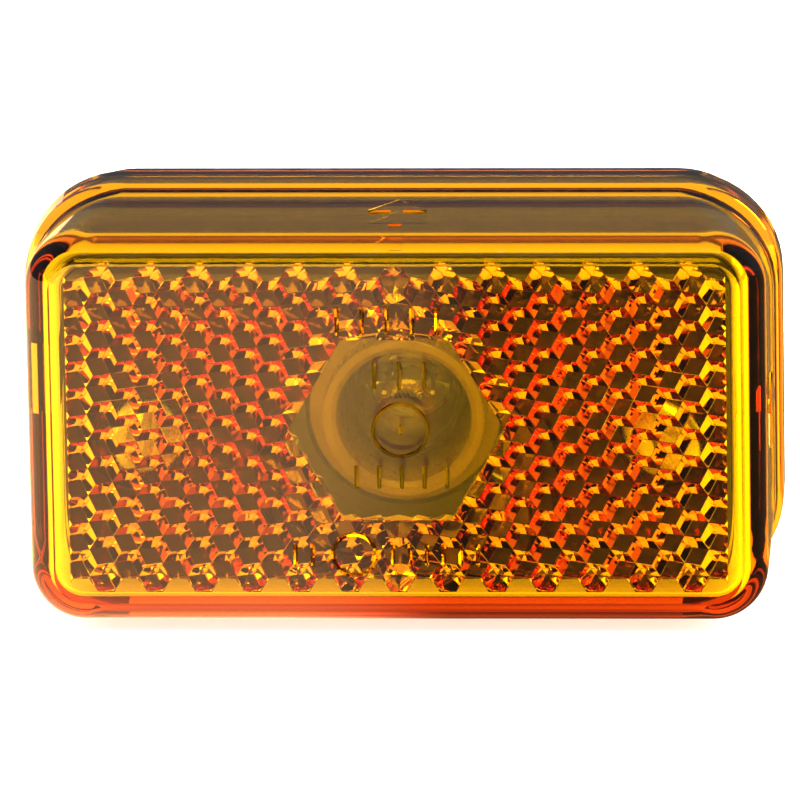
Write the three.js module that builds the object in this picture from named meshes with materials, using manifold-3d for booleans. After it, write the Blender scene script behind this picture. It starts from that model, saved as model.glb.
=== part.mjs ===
// Amber side marker lamp with a built-in prism reflector, for screwing to a flat vehicle panel.
// Millimetres. X runs along the lamp, Z is up, and the lens faces -Y.
// Y = 0 is the mounting plane, the back of the foam pad; the origin is the centre of that plane.

import * as THREE from 'three';
import { mergeVertices } from 'three/addons/utils/BufferGeometryUtils.js';
import Module from 'manifold-3d';

const wasm = await Module();
wasm.setup();

// Free gap between neighbouring pieces.
const GAP = 0.3;

// Number of flat sides that stand for a round: on large, middling and small pieces.
const LARGE_SIDES = 40;
const MIDDLE_SIDES = 28;
const SMALL_SIDES = 20;

// Lens: half width and half height of its flat face, its back edge and the shape between them.
const FACE_Y = -25;
const RIM_Y = -6.3;
const FACE_HALF_X = 30.45;
const FACE_HALF_Z = 15.55;
const FACE_CORNER = 2.7;
const SHOULDER_RADIUS = 3.34;
const SHOULDER_START = Math.PI / 9;
const WALL_HALF_X = 33.0;
const WALL_HALF_Z = 18.2;
const WALL_CORNER = 8.3;
const WALL_END_Y = -12.8;
const LIP_HALF_X = 33.7;
const LIP_HALF_Z = 18.9;
const LIP_CORNER = 9.0;
const LIP_START_Y = -10.2;
const INNER_FACE_Y = -23;
const INNER_FRONT = { x: 30.6, z: 15.7, r: 2.8 };
const INNER_BACK = { x: 31.6, z: 16.8, r: 7.2 };
const CORNER_STEPS = 8;

// Prism reflector: three-sided cube corners on a honeycomb of this pitch.
const PRISM_PITCH = 2.5;
const PRISM_HALF_X = 29.1;
const PRISM_HALF_Z = 15.0;
const PRISM_STEP = PRISM_PITCH * Math.SQRT1_2 / Math.sqrt(3);
const PRISM_FOOT = 0.25;
const PRISM_ROOT = 0.6;
const PRISM_ROWS = 12;
const WINDOW_APOTHEM = 8.3;

// Raised arrows on the top and right walls.
const WALL_LEAN = 0.042;
const ARROW_RISE = 0.2;
const ARROW_HALF_LENGTH = 3.4;
const ARROW_SHAFT_HALF = 0.55;
const ARROW_HEAD_HALF = 2.6;
const ARROW_NECK = 0.4;
const ARROW_Y = -17.3;
const ARROW_WALL_Z = 18.0;
const ARROW_WALL_X = 32.85;

// Key on the left wall, which lets the lens go on one way up only.
const KEY_Z = 3.6;
const KEY_WIDTH = 5.9;
const KEY_GROOVE_X = 32.2;
const KEY_GROOVE_Y = -18;
const TONGUE_Y = -15;
const TONGUE_THICK = 0.6;

// Base moulding: a floor with a skirt inside the lens, on a hollow plinth set in from the lens lip.
const BASE_THICK = 2;
const BASE_FRONT_Y = RIM_Y - BASE_THICK;
const BASE_FLOOR = { x: 31.2, z: 16.4, r: 6.8 };
const PLINTH = { x: 32.2, z: 17.3, r: 8.0 };
const PLINTH_WALL = 1.8;
const PLINTH_ROOF = 1.6;
const PLINTH_BACK_Y = -1.3;
const SKIRT = { x: 30.0, z: 15.2, r: 5.0 };
const SKIRT_WALL = 1.2;
const SKIRT_Y = -13.3;
const SEAL_DEPTH = 2;
const SEAL_REACH = 1;
const SCREW_X = 21;
const BOSS_R = 4.5;
const BOSS_Y = -11.3;
const SCREW_HOLE_R = 2.3;
const SOCKET_Z = -2.3;
const SOCKET_R = 8.9;
const COLLAR_R = 10.3;
const COLLAR_FRONT_Y = -9.2;
const COLLAR_BACK_Y = -1;
const PAD_SOCKET_ROOM = 0.7;
const PAD_SCREW_ROOM = 0.4;

// Screws and washers.
const SHANK_R = 1.95;
const HEAD_R = 3.6;
const HEAD_HEIGHT = 2.2;
const SCREW_TIP_Y = 10.5;
const SCREW_POINT = 3;
const NECK_R = 1.56;
const THREAD_START_Y = 0.2;
const THREAD_ROOT_R = 1.4;
const THREAD_PITCH = 1.9;
const RECESS_HALF_LONG = 1.9;
const RECESS_HALF_WIDE = 0.4;
const RECESS_DEEP = 1.3;
const WASHER_R = 4.2;
const WASHER_THICK = 1;

// Bulb holder: a cup with a stepped rim, a plug body and a grip at the back.
const HOLDER_R = 8.6;
const CUP_RIM_R = 7.25;
const CUP_R = 6.0;
const CUP_FRONT_Y = -12;
const CUP_STEP_Y = -8.8;
const RIM_CHAMFER = 0.5;
const CUP_FLOOR_Y = 4.3;
const FLANGE_R = 10.3;
const FLANGE_BACK_Y = 1;
const GRIP_R = 8;
const GRIP_CHAMFER = 0.8;
const GRIP_NOTCHES = 16;
const GRIP_NOTCH_R = 0.7;
const HOLDER_BACK_Y = 16;
const GROOVE_R = 7.75;
const GROOVE_Y = -3;
const GROOVE_HALF = 0.6;
const ORING_R = 0.42;
const SLOT_HALF_X = 4.9;
const SLOT_HALF_Z = 2.85;

// Contact strips.
const STRIP_THICK = 0.4;
const STRIP_Z = 2.15;
const STRIP_WIDTH = 4;
const STRIP_BRIDGE = 0.5;
const LEAF_INSET = 0.8;
const BLADE_HALF_Z = 4.2;
const BLADE_WIDTH = 6.3;
const BLADE_THICK = 0.8;
const BLADE_TIP_Y = 24;
const BLADE_HOLE_R = 0.9;
const BLADE_HOLE_INSET = 3;

// Wedge-base bulb.
const BULB_R = 5;
const BULB_GLASS = 0.6;
const BULB_TIP_Y = -10.5;
const BULB_NECK_Y = 4;
const WEDGE_HALF_X = 4.5;
const WEDGE_HALF_Z = 1.1;
const WEDGE_BACK_Y = 12.6;
const PLUG_DEPTH = 1.6;
const PLUG_ROOM = 0.1;
const WIRE_R = 0.22;
const LEAD_X = 2.2;
const LEAD_ROOM = 0.25;
const FILAMENT_Y = -4.5;
const COIL_TURNS = 9;
const COIL_R = 0.32;
const COIL_WIRE_R = 0.07;
const COIL_FORWARD = 0.35;
const COIL_END_GAP = 0.3;

// ---------- solids ----------

function toSolid(geometry) {
  const bare = geometry.index ? geometry.toNonIndexed() : geometry.clone();
  bare.deleteAttribute('normal');
  bare.deleteAttribute('uv');
  const merged = mergeVertices(bare, 1e-5);
  return new wasm.Manifold(new wasm.Mesh({
    numProp: 3,
    vertProperties: new Float32Array(merged.attributes.position.array),
    triVerts: new Uint32Array(merged.index.array),
  }));
}

function toGeometry(solid) {
  const mesh = solid.getMesh();
  const geometry = new THREE.BufferGeometry();
  geometry.setAttribute('position', new THREE.BufferAttribute(mesh.vertProperties, 3));
  geometry.setIndex(new THREE.BufferAttribute(mesh.triVerts, 1));
  geometry.computeVertexNormals();
  return geometry;
}

function join(...solids) {
  return solids.reduce((whole, next) => whole.add(next));
}

function cut(solid, ...tools) {
  return tools.reduce((left, tool) => left.subtract(tool), solid);
}

// Box between two corners.
function boxSolid(low, high) {
  const size = high.map((value, axis) => value - low[axis]);
  const box = new THREE.BoxGeometry(...size);
  box.translate(...high.map((value, axis) => (value + low[axis]) / 2));
  return toSolid(box);
}

// Turned solid about the Y axis: the profile is a list of [radius, y], from axis to axis or closed.
function turned(profile, segments, x = 0, z = 0) {
  const points = profile.map(([radius, y]) => new THREE.Vector2(radius, y));
  const lathe = new THREE.LatheGeometry(points, segments);
  lathe.translate(x, 0, z);
  return toSolid(orientOut(lathe));
}

function rod(radius, yLow, yHigh, segments, x = 0, z = 0) {
  return turned([[0, yLow], [radius, yLow], [radius, yHigh], [0, yHigh]], segments, x, z);
}

// Turns a closed triangle mesh right side out when its volume comes out negative.
function orientOut(geometry) {
  const loose = geometry.index ? geometry.toNonIndexed() : geometry;
  const p = loose.attributes.position.array;
  let volume = 0;
  for (let i = 0; i < p.length; i += 9) {
    volume += p[i] * (p[i + 4] * p[i + 8] - p[i + 5] * p[i + 7]);
    volume -= p[i + 1] * (p[i + 3] * p[i + 8] - p[i + 5] * p[i + 6]);
    volume += p[i + 2] * (p[i + 3] * p[i + 7] - p[i + 4] * p[i + 6]);
  }
  if (volume < 0) {
    for (let i = 0; i < p.length; i += 9) {
      for (let axis = 0; axis < 3; axis += 1) {
        [p[i + 3 + axis], p[i + 6 + axis]] = [p[i + 6 + axis], p[i + 3 + axis]];
      }
    }
  }
  return loose;
}

// Closed loop of points: a rounded rectangle of the given half sizes, in the plane at y.
function roundedLoop(halfX, halfZ, radius, y) {
  const points = [];
  for (let corner = 0; corner < 4; corner += 1) {
    const sideX = corner === 0 || corner === 3 ? 1 : -1;
    const sideZ = corner < 2 ? 1 : -1;
    for (let step = 0; step <= CORNER_STEPS; step += 1) {
      const angle = (corner + step / CORNER_STEPS) * Math.PI / 2;
      const x = sideX * (halfX - radius) + radius * Math.cos(angle);
      const z = sideZ * (halfZ - radius) + radius * Math.sin(angle);
      points.push([x, y, z]);
    }
  }
  return points;
}

// Skins a stack of equal loops and closes both ends with flat fans.
function loftSolid(loops) {
  const count = loops[0].length;
  const soup = [];
  for (let ring = 0; ring + 1 < loops.length; ring += 1) {
    for (let i = 0; i < count; i += 1) {
      const j = (i + 1) % count;
      const [a, b, c, d] = [loops[ring][i], loops[ring][j], loops[ring + 1][j], loops[ring + 1][i]];
      soup.push(...a, ...b, ...c, ...a, ...c, ...d);
    }
  }
  const [first, last] = [loops[0], loops[loops.length - 1]];
  for (let i = 1; i + 1 < count; i += 1) {
    soup.push(...first[0], ...first[i + 1], ...first[i]);
    soup.push(...last[0], ...last[i], ...last[i + 1]);
  }
  const geometry = new THREE.BufferGeometry();
  geometry.setAttribute('position', new THREE.BufferAttribute(new Float32Array(soup), 3));
  return toSolid(orientOut(geometry));
}

function roundedBlock(halfX, halfZ, radius, yLow, yHigh) {
  return loftSolid([roundedLoop(halfX, halfZ, radius, yLow), roundedLoop(halfX, halfZ, radius, yHigh)]);
}

// Flat outline in X and Z, thickened from yLow to yHigh.
function plate(outline, yLow, yHigh) {
  const shape = new THREE.Shape(outline.map(([x, z]) => new THREE.Vector2(x, z)));
  const block = new THREE.ExtrudeGeometry(shape, { depth: yHigh - yLow, bevelEnabled: false });
  block.rotateX(Math.PI / 2);
  block.translate(0, yHigh, 0);
  return toSolid(orientOut(block));
}

// ---------- lens ----------

function lensShell() {
  const outer = [];
  const steps = 4;
  for (let step = 0; step <= steps; step += 1) {
    const angle = THREE.MathUtils.lerp(SHOULDER_START, Math.PI / 2, step / steps);
    const out = SHOULDER_RADIUS * (Math.sin(angle) - Math.sin(SHOULDER_START));
    const y = FACE_Y + SHOULDER_RADIUS * (Math.cos(SHOULDER_START) - Math.cos(angle));
    outer.push(roundedLoop(FACE_HALF_X + out, FACE_HALF_Z + out, FACE_CORNER + out, y));
  }
  outer.push(roundedLoop(WALL_HALF_X, WALL_HALF_Z, WALL_CORNER, WALL_END_Y));
  outer.push(roundedLoop(LIP_HALF_X, LIP_HALF_Z, LIP_CORNER, LIP_START_Y));
  outer.push(roundedLoop(LIP_HALF_X, LIP_HALF_Z, LIP_CORNER, RIM_Y));
  const inner = [
    roundedLoop(INNER_FRONT.x, INNER_FRONT.z, INNER_FRONT.r, INNER_FACE_Y),
    roundedLoop(INNER_BACK.x, INNER_BACK.z, INNER_BACK.r, RIM_Y + 1),
  ];
  return cut(loftSolid(outer), loftSolid(inner));
}

// True when a honeycomb cell lies wholly outside the clear hexagonal window.
function outsideWindow(x, z) {
  const reach = [90, 30, -30].map((degrees) => {
    const angle = THREE.MathUtils.degToRad(degrees);
    return Math.abs(x * Math.cos(angle) + z * Math.sin(angle));
  });
  return Math.max(...reach) > WINDOW_APOTHEM + PRISM_PITCH / 2 - 0.01;
}

// One cube corner: its apex is in the middle and its corners lie one and two steps nearer the face.
function prismTriangles(x, z) {
  const radius = PRISM_PITCH / Math.sqrt(3);
  const apex = [x, z, 2];
  const corners = [];
  for (let k = 0; k < 6; k += 1) {
    const angle = k * Math.PI / 3;
    corners.push([x + radius * Math.cos(angle), z + radius * Math.sin(angle), k % 2 === 0 ? 1 : 0]);
  }
  if (x > 0) {
    return corners.map((corner, k) => [apex, corner, corners[(k + 1) % 6]]);
  }
  const above = [0, z + PRISM_PITCH / 2, 0.5];
  const below = [0, z - PRISM_PITCH / 2, 0.5];
  return [[apex, corners[0], corners[1]], [apex, corners[1], above],
    [apex, below, corners[5]], [apex, corners[5], corners[0]]];
}

// Prisms of the right half as one solid, rooted in the face plate.
function prismField() {
  const columnStep = PRISM_PITCH * Math.sqrt(3) / 2;
  const columns = Math.floor((PRISM_HALF_X - PRISM_PITCH / Math.sqrt(3)) / columnStep);
  const triangles = [];
  for (let column = 0; column <= columns; column += 1) {
    const rows = PRISM_ROWS - column % 2;
    for (let row = 0; row < rows; row += 1) {
      const x = column * columnStep;
      const z = (row - (rows - 1) / 2) * PRISM_PITCH;
      if (Math.abs(z) + PRISM_PITCH / 2 <= PRISM_HALF_Z + 0.01 && outsideWindow(x, z)) {
        triangles.push(...prismTriangles(x, z));
      }
    }
  }
  return reliefSolid(triangles);
}

// Closes a sheet of relief triangles with walls and a flat floor inside the face plate.
function reliefSolid(triangles) {
  const floorY = INNER_FACE_Y - PRISM_ROOT;
  const rise = ([x, z, level]) => [x, INNER_FACE_Y + PRISM_FOOT + level * PRISM_STEP, z];
  const flat = ([x, z]) => [x, floorY, z];
  const key = ([x, z]) => `${Math.round(x * 1e4)},${Math.round(z * 1e4)}`;
  const edges = new Map();
  for (const [a, b, c] of triangles) {
    for (const [p, q] of [[a, b], [b, c], [c, a]]) {
      edges.set(`${key(p)}>${key(q)}`, [p, q]);
    }
  }
  const soup = [];
  for (const [a, b, c] of triangles) {
    soup.push(...rise(a), ...rise(c), ...rise(b), ...flat(a), ...flat(b), ...flat(c));
  }
  for (const [p, q] of edges.values()) {
    if (!edges.has(`${key(q)}>${key(p)}`)) {
      soup.push(...rise(p), ...rise(q), ...flat(q), ...rise(p), ...flat(q), ...flat(p));
    }
  }
  const geometry = new THREE.BufferGeometry();
  geometry.setAttribute('position', new THREE.BufferAttribute(new Float32Array(soup), 3));
  return toSolid(orientOut(geometry));
}

// Raised arrow for the way up: its outline, and the block that stands it half sunk in a wall.
function arrowBlock() {
  const half = [[ARROW_SHAFT_HALF, -ARROW_HALF_LENGTH], [ARROW_SHAFT_HALF, ARROW_NECK]];
  half.push([ARROW_HEAD_HALF, ARROW_NECK]);
  const mirrored = half.map(([x, y]) => [-x, y]).reverse();
  const outline = [...half, [0, ARROW_HALF_LENGTH], ...mirrored];
  const shape = new THREE.Shape(outline.map(([x, y]) => new THREE.Vector2(x, y)));
  const mark = new THREE.ExtrudeGeometry(shape, { depth: 1, bevelEnabled: false });
  mark.translate(0, 0, ARROW_RISE - 1);
  return mark;
}

// The top and the right wall lean outwards towards the back, so each arrow leans with its wall.
function arrowOnTop() {
  const mark = arrowBlock();
  mark.rotateX(WALL_LEAN);
  mark.translate(0, ARROW_Y, ARROW_WALL_Z);
  return toSolid(orientOut(mark));
}

function arrowOnRight() {
  const mark = arrowBlock();
  mark.rotateX(Math.PI / 2);
  mark.rotateZ(Math.PI / 2 - WALL_LEAN);
  mark.translate(ARROW_WALL_X, ARROW_Y, 0);
  return toSolid(orientOut(mark));
}

function lensCover() {
  const prisms = prismField();
  const groove = boxSolid(
    [-KEY_GROOVE_X, KEY_GROOVE_Y, KEY_Z - KEY_WIDTH / 2 - GAP],
    [-INNER_FRONT.x, RIM_Y + 1, KEY_Z + KEY_WIDTH / 2 + GAP],
  );
  const body = join(lensShell(), prisms, prisms.mirror([1, 0, 0]), arrowOnTop(), arrowOnRight());
  return cut(body, groove);
}

// ---------- base and fixings ----------

function baseHousing() {
  const floor = roundedBlock(BASE_FLOOR.x, BASE_FLOOR.z, BASE_FLOOR.r, BASE_FRONT_Y, RIM_Y + 2 * GAP);
  const plinth = cut(
    roundedBlock(PLINTH.x, PLINTH.z, PLINTH.r, RIM_Y + GAP, PLINTH_BACK_Y),
    roundedBlock(
      PLINTH.x - PLINTH_WALL, PLINTH.z - PLINTH_WALL, PLINTH.r - PLINTH_WALL, RIM_Y + PLINTH_ROOF, 0,
    ),
  );
  const skirt = cut(
    roundedBlock(SKIRT.x, SKIRT.z, SKIRT.r, SKIRT_Y, RIM_Y),
    roundedBlock(SKIRT.x - SKIRT_WALL, SKIRT.z - SKIRT_WALL, SKIRT.r - SKIRT_WALL, SKIRT_Y - 1, BASE_FRONT_Y),
  );
  const tongueX = KEY_GROOVE_X - GAP;
  const tongue = boxSolid(
    [-tongueX, TONGUE_Y, KEY_Z - KEY_WIDTH / 2],
    [-tongueX + TONGUE_THICK, RIM_Y + 2 * GAP, KEY_Z + KEY_WIDTH / 2],
  );
  const tongueFoot = boxSolid(
    [-tongueX, BASE_FRONT_Y, KEY_Z - KEY_WIDTH / 2],
    [-SKIRT.x, RIM_Y + 2 * GAP, KEY_Z + KEY_WIDTH / 2],
  );
  const collar = rod(COLLAR_R, COLLAR_FRONT_Y, COLLAR_BACK_Y, LARGE_SIDES, 0, SOCKET_Z);
  let body = join(floor, plinth, skirt, tongue, tongueFoot, collar);
  for (const side of [-1, 1]) {
    body = body.add(rod(BOSS_R, BOSS_Y, PLINTH_BACK_Y, MIDDLE_SIDES, side * SCREW_X));
    body = body.subtract(rod(SCREW_HOLE_R, BOSS_Y - 1, 0, MIDDLE_SIDES, side * SCREW_X));
  }
  const bore = rod(SOCKET_R, COLLAR_FRONT_Y - 1, COLLAR_BACK_Y + 1, LARGE_SIDES, 0, SOCKET_Z);
  return body.subtract(bore);
}

// Rubber ring between the skirt of the base and the inside of the lens.
function lensSeal() {
  const low = BASE_FRONT_Y - GAP - SEAL_DEPTH;
  const high = BASE_FRONT_Y - GAP;
  const outside = roundedBlock(SKIRT.x + SEAL_REACH, SKIRT.z + SEAL_REACH, SKIRT.r + SEAL_REACH, low, high);
  const inside = roundedBlock(SKIRT.x + GAP, SKIRT.z + GAP, SKIRT.r + GAP, low - 1, high + 1);
  return cut(outside, inside);
}

// Foam pad behind the plinth, with holes for the screws and the socket collar.
function mountingPad() {
  let pad = roundedBlock(PLINTH.x, PLINTH.z, PLINTH.r, PLINTH_BACK_Y + GAP, 0);
  pad = pad.subtract(rod(COLLAR_R + PAD_SOCKET_ROOM, PLINTH_BACK_Y, 1, LARGE_SIDES, 0, SOCKET_Z));
  for (const side of [-1, 1]) {
    pad = pad.subtract(rod(SHANK_R + PAD_SCREW_ROOM, PLINTH_BACK_Y, 1, SMALL_SIDES, side * SCREW_X));
  }
  return pad;
}

function screwWasher(x) {
  const low = BOSS_Y - GAP - WASHER_THICK;
  const high = BOSS_Y - GAP;
  const inner = SHANK_R + GAP;
  const section = [[inner, low], [WASHER_R, low], [WASHER_R, high], [inner, high], [inner, low]];
  return turned(section, MIDDLE_SIDES, x);
}

// Self-tapping screw with a domed head, a cross recess and ridges for its thread.
function mountingScrew(x) {
  const headBack = BOSS_Y - WASHER_THICK - 2 * GAP;
  const headFront = headBack - HEAD_HEIGHT;
  const profile = [[0, headFront], [HEAD_R * 0.55, headFront + 0.15], [HEAD_R * 0.9, headFront + 0.8]];
  profile.push([HEAD_R, headFront + 1.5], [HEAD_R, headBack], [NECK_R, headBack]);
  const turns = Math.floor((SCREW_TIP_Y - SCREW_POINT - THREAD_START_Y) / THREAD_PITCH);
  profile.push([NECK_R, THREAD_START_Y]);
  for (let turn = 0; turn < turns; turn += 1) {
    const y = THREAD_START_Y + turn * THREAD_PITCH;
    profile.push([SHANK_R, y + THREAD_PITCH / 2], [THREAD_ROOT_R, y + THREAD_PITCH]);
  }
  profile.push([0, SCREW_TIP_Y]);
  const slot = (halfX, halfZ) => boxSolid(
    [x - halfX, headFront - 1, -halfZ],
    [x + halfX, headFront + RECESS_DEEP, halfZ],
  );
  const level = slot(RECESS_HALF_LONG, RECESS_HALF_WIDE);
  const upright = slot(RECESS_HALF_WIDE, RECESS_HALF_LONG);
  return cut(turned(profile, SMALL_SIDES, x), level, upright);
}

// ---------- bulb holder ----------

function holderBody() {
  const groove = [[HOLDER_R, GROOVE_Y - GROOVE_HALF], [GROOVE_R, GROOVE_Y - GROOVE_HALF]];
  groove.push([GROOVE_R, GROOVE_Y + GROOVE_HALF], [HOLDER_R, GROOVE_Y + GROOVE_HALF]);
  const profile = [[0, CUP_FLOOR_Y], [CUP_R, CUP_FLOOR_Y], [CUP_R, CUP_FRONT_Y + RIM_CHAMFER]];
  profile.push([CUP_R + RIM_CHAMFER, CUP_FRONT_Y], [CUP_RIM_R, CUP_FRONT_Y], [CUP_RIM_R, CUP_STEP_Y]);
  profile.push([HOLDER_R, CUP_STEP_Y], ...groove, [HOLDER_R, COLLAR_BACK_Y + GAP]);
  profile.push([FLANGE_R, COLLAR_BACK_Y + GAP], [FLANGE_R, FLANGE_BACK_Y], [GRIP_R, FLANGE_BACK_Y]);
  profile.push([GRIP_R, HOLDER_BACK_Y - GRIP_CHAMFER], [GRIP_R - GRIP_CHAMFER, HOLDER_BACK_Y]);
  profile.push([0, HOLDER_BACK_Y]);
  let body = turned(profile, LARGE_SIDES);
  body = body.subtract(boxSolid(
    [-SLOT_HALF_X, CUP_FLOOR_Y - 1, -SLOT_HALF_Z],
    [SLOT_HALF_X, WEDGE_BACK_Y + 1, SLOT_HALF_Z],
  ));
  for (const side of [-1, 1]) {
    body = body.subtract(bladeSlot(side));
  }
  for (let notch = 0; notch < GRIP_NOTCHES; notch += 1) {
    const angle = (notch + 0.5) * 2 * Math.PI / GRIP_NOTCHES;
    const [x, z] = [GRIP_R * Math.cos(angle), GRIP_R * Math.sin(angle)];
    body = body.subtract(rod(GRIP_NOTCH_R, FLANGE_BACK_Y + GRIP_CHAMFER, HOLDER_BACK_Y + 1, 8, x, z));
  }
  return body;
}

// Way through the back of the holder for one contact strip.
function bladeSlot(side) {
  const inner = STRIP_Z - GAP;
  const outer = BLADE_HALF_Z + BLADE_THICK / 2 + GAP;
  const half = BLADE_WIDTH / 2 + GAP;
  const z = [side * inner, side * outer].sort((a, b) => a - b);
  return boxSolid([-half, WEDGE_BACK_Y - GAP, z[0]], [half, HOLDER_BACK_Y + 1, z[1]]);
}

function holderRing() {
  const ring = new THREE.TorusGeometry(GROOVE_R + ORING_R + 0.1, ORING_R, 8, LARGE_SIDES);
  ring.rotateX(Math.PI / 2);
  ring.translate(0, GROOVE_Y, 0);
  return toSolid(orientOut(ring));
}

// Brass strip: a spring leaf beside the bulb's wedge, a step outwards and a blade at the back.
function contactStrip(side) {
  const z = (low, high) => [side * low, side * high].sort((a, b) => a - b);
  const part = (half, yLow, yHigh, low, high) => {
    const [zLow, zHigh] = z(low, high);
    return boxSolid([-half, yLow, zLow], [half, yHigh, zHigh]);
  };
  const step = WEDGE_BACK_Y + 0.2;
  const bladeLow = BLADE_HALF_Z - BLADE_THICK / 2;
  const bladeHigh = BLADE_HALF_Z + BLADE_THICK / 2;
  const leafStart = CUP_FLOOR_Y + LEAF_INSET;
  const leaf = part(STRIP_WIDTH / 2, leafStart, step + STRIP_BRIDGE, STRIP_Z, STRIP_Z + STRIP_THICK);
  const bridge = part(STRIP_WIDTH / 2, step, step + STRIP_BRIDGE, STRIP_Z, bladeHigh);
  const blade = part(BLADE_WIDTH / 2, step, BLADE_TIP_Y, bladeLow, bladeHigh);
  const hole = new THREE.CylinderGeometry(BLADE_HOLE_R, BLADE_HOLE_R, 4, SMALL_SIDES);
  hole.rotateX(Math.PI / 2);
  hole.translate(0, BLADE_TIP_Y - BLADE_HOLE_INSET, side * BLADE_HALF_Z);
  return cut(join(leaf, bridge, blade), toSolid(hole));
}

// ---------- bulb ----------

function bulbGlass() {
  const profile = [];
  const steps = 7;
  for (let step = 0; step <= steps; step += 1) {
    const angle = step / steps * Math.PI / 2;
    profile.push([BULB_R * Math.sin(angle), BULB_TIP_Y + BULB_R * (1 - Math.cos(angle))]);
  }
  const inside = BULB_R - BULB_GLASS;
  profile.push([BULB_R, BULB_NECK_Y], [inside, BULB_NECK_Y]);
  for (let step = steps; step >= 0; step -= 1) {
    const angle = step / steps * Math.PI / 2;
    profile.push([inside * Math.sin(angle), BULB_TIP_Y + BULB_R - inside * Math.cos(angle)]);
  }
  return turned(profile, MIDDLE_SIDES);
}

// Pressed glass wedge, with a plug that closes the envelope and two holes for the leads.
function bulbWedge() {
  const shoulder = BULB_NECK_Y + PLUG_ROOM;
  const plug = rod(BULB_R - BULB_GLASS - PLUG_ROOM, BULB_NECK_Y - PLUG_DEPTH, shoulder, MIDDLE_SIDES);
  const wedge = boxSolid(
    [-WEDGE_HALF_X, shoulder, -WEDGE_HALF_Z],
    [WEDGE_HALF_X, WEDGE_BACK_Y, WEDGE_HALF_Z],
  );
  let body = plug.add(wedge);
  for (const side of [-1, 1]) {
    const hole = rod(WIRE_R + LEAD_ROOM, BULB_NECK_Y - PLUG_DEPTH - 1, WEDGE_BACK_Y + 1, 10, side * LEAD_X);
    body = body.subtract(hole);
  }
  return body;
}

// Round wire along a smooth curve through the given points.
function wire(points, radius, steps, sides) {
  const path = new THREE.CatmullRomCurve3(points.map((point) => new THREE.Vector3(...point)));
  const ring = [];
  for (let k = 0; k < sides; k += 1) {
    const angle = k / sides * 2 * Math.PI;
    ring.push(new THREE.Vector2(radius * Math.cos(angle), radius * Math.sin(angle)));
  }
  const tube = new THREE.ExtrudeGeometry(new THREE.Shape(ring), {
    steps, extrudePath: path, bevelEnabled: false,
  });
  return toSolid(orientOut(tube));
}

// Lead: from the filament, down through the wedge, round its end and back up one flat side.
function leadWire(side) {
  const flank = side * (WEDGE_HALF_Z + GAP + WIRE_R);
  const x = side * LEAD_X;
  const end = WEDGE_BACK_Y + GAP + WIRE_R;
  return wire([
    [x, FILAMENT_Y + 0.5, 0], [x, FILAMENT_Y + 4, 0], [x, BULB_NECK_Y, 0], [x, WEDGE_BACK_Y - 1, 0],
    [x, WEDGE_BACK_Y, 0], [x, end, flank * 0.3], [x, end, flank * 0.8],
    [x, WEDGE_BACK_Y - 0.4, flank], [x, WEDGE_BACK_Y - 3, flank], [x, WEDGE_BACK_Y - 5.5, flank],
  ], WIRE_R, 40, 6);
}

// Coiled wire along X between the two leads, a little in front of their tips.
function filament() {
  const points = [];
  const perTurn = 8;
  const steps = COIL_TURNS * perTurn;
  const half = LEAD_X - COIL_END_GAP;
  for (let i = 0; i <= steps; i += 1) {
    const angle = i / perTurn * 2 * Math.PI;
    const x = -half + 2 * half * i / steps;
    points.push([x, FILAMENT_Y - COIL_FORWARD + COIL_R * Math.cos(angle), COIL_R * Math.sin(angle)]);
  }
  return wire(points, COIL_WIRE_R, steps, 4);
}

// ---------- assembly ----------

function finish(color, roughness, metalness, opacity = 1) {
  return new THREE.MeshStandardMaterial({
    color, roughness, metalness, opacity, transparent: opacity < 1,
  });
}

const lamp = new THREE.Group();

// The bulb holder and the bulb are drawn about the Y axis and then moved down to the socket.
function atSocket(solid) {
  return solid.translate([0, 0, SOCKET_Z]);
}

function add(name, solid, material) {
  const mesh = new THREE.Mesh(toGeometry(solid), material);
  mesh.name = name;
  lamp.add(mesh);
}

add('lens_cover', lensCover(), finish(0xd98a10, 0.08, 0, 0.8));
add('lens_seal', lensSeal(), finish(0x17171a, 0.8, 0));
add('base_housing', baseHousing(), finish(0x1c1d20, 0.5, 0));
add('mounting_pad', mountingPad(), finish(0x15161a, 0.9, 0));
for (const [name, side] of [['left', -1], ['right', 1]]) {
  add(`mounting_screw_${name}`, mountingScrew(side * SCREW_X), finish(0xb9bcc0, 0.3, 1));
  add(`screw_washer_${name}`, screwWasher(side * SCREW_X), finish(0x202124, 0.8, 0));
}
add('holder_body', atSocket(holderBody()), finish(0xc9c6bd, 0.5, 0));
add('holder_ring', atSocket(holderRing()), finish(0x17171a, 0.7, 0));
add('contact_strip_upper', atSocket(contactStrip(1)), finish(0xc9a24a, 0.35, 1));
add('contact_strip_lower', atSocket(contactStrip(-1)), finish(0xc9a24a, 0.35, 1));
add('bulb_glass', atSocket(bulbGlass()), finish(0xf2f6f8, 0.05, 0, 0.35));
add('bulb_wedge', atSocket(bulbWedge()), finish(0xe6ecee, 0.15, 0, 0.6));
add('filament', atSocket(filament()), finish(0x6e6e72, 0.4, 1));
add('lead_wire_left', atSocket(leadWire(-1)), finish(0xb8a27a, 0.35, 1));
add('lead_wire_right', atSocket(leadWire(1)), finish(0xb8a27a, 0.35, 1));

export default lamp;
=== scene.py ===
"""Amber side marker lamp: camera and studio, then the lamp piece by piece from its pad to its lens."""

import bmesh
import bpy
import numpy as np
from mathutils import Matrix, Vector


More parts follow.
